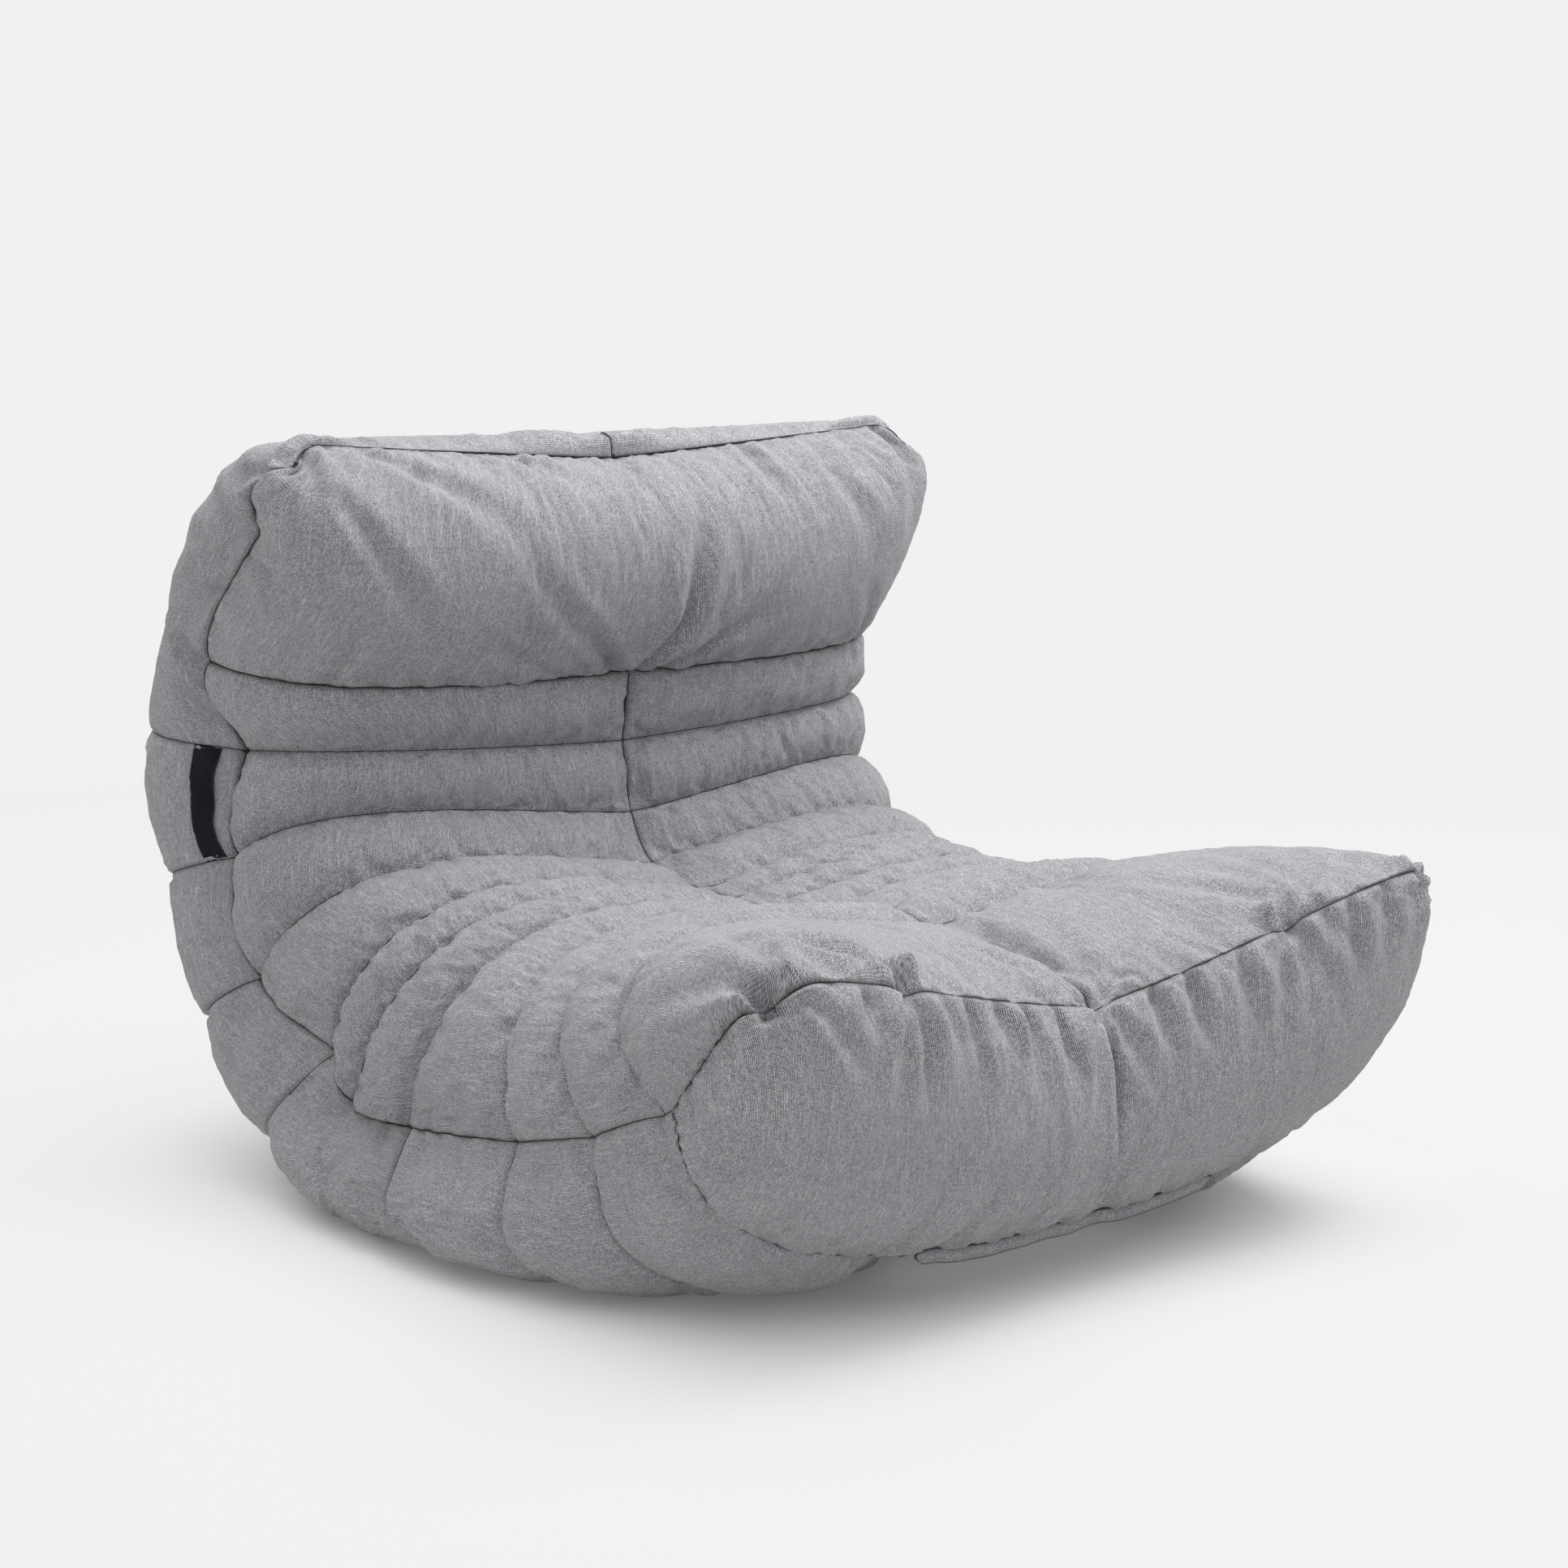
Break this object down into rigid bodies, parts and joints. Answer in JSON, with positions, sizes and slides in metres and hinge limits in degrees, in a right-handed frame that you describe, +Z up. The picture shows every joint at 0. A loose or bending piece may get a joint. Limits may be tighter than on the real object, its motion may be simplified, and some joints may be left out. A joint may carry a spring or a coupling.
{
  "type": "bean bag chair",
  "caption": "Low lounge bean bag chair with a quilted L-shaped seat and headrest, sewn fabric cover, bead-filled liners and hidden zips.",
  "frame": {"origin": "on the floor, under the middle of the chair's width and depth", "axes": "+Z up, -Y the front that the sitter faces, +X the right side seen from the front"},
  "size_m": [0.998, 1.1652, 0.7953],
  "materials": {
    "cover_fabric": "matte",
    "base_fabric": "matte",
    "wadding": "matte",
    "liner_fabric": "matte",
    "bead_fill": "matte",
    "label_ribbon": "matte",
    "zip_metal": "satin",
    "zip_tape": "matte"
  },
  "bodies": {
    "chair": {"headrest_panel": "cover_fabric", "seat_quilt_left": "cover_fabric", "seat_quilt_right": "cover_fabric", "headrest_wadding": "wadding", "quilt_wadding_left": "wadding", "quilt_wadding_right": "wadding", "side_shell_left": "cover_fabric", "side_shell_right": "cover_fabric", "front_panel": "cover_fabric", "base_panel": "base_fabric", "woven_label": "label_ribbon", "zip_placket": "cover_fabric", "zip_tape_front": "zip_tape", "zip_tape_base": "zip_tape", "zip_stops": "zip_metal", "back_liner": "liner_fabric", "seat_liner": "liner_fabric", "back_bead_fill": "bead_fill", "seat_bead_fill": "bead_fill", "chamber_baffle": "liner_fabric", "back_liner_zip": "zip_tape", "seat_liner_zip": "zip_tape"},
    "cover_slider": {"zip_slider": "zip_metal"},
    "back_liner_slider": {"back_liner_slider": "zip_metal"},
    "seat_liner_slider": {"seat_liner_slider": "zip_metal"}
  },
  "joints": [
    {"name": "cover_zip_slide", "type": "slide", "parent": "chair", "child": "cover_slider", "axis": [1, 0, 0], "range_m": [0, 0.365]},
    {"name": "back_liner_zip_slide", "type": "slide", "parent": "chair", "child": "back_liner_slider", "axis": [1, 0, 0], "range_m": [0, 0.284]},
    {"name": "seat_liner_zip_slide", "type": "slide", "parent": "chair", "child": "seat_liner_slider", "axis": [1, 0, 0], "range_m": [0, 0.284]}
  ]
}
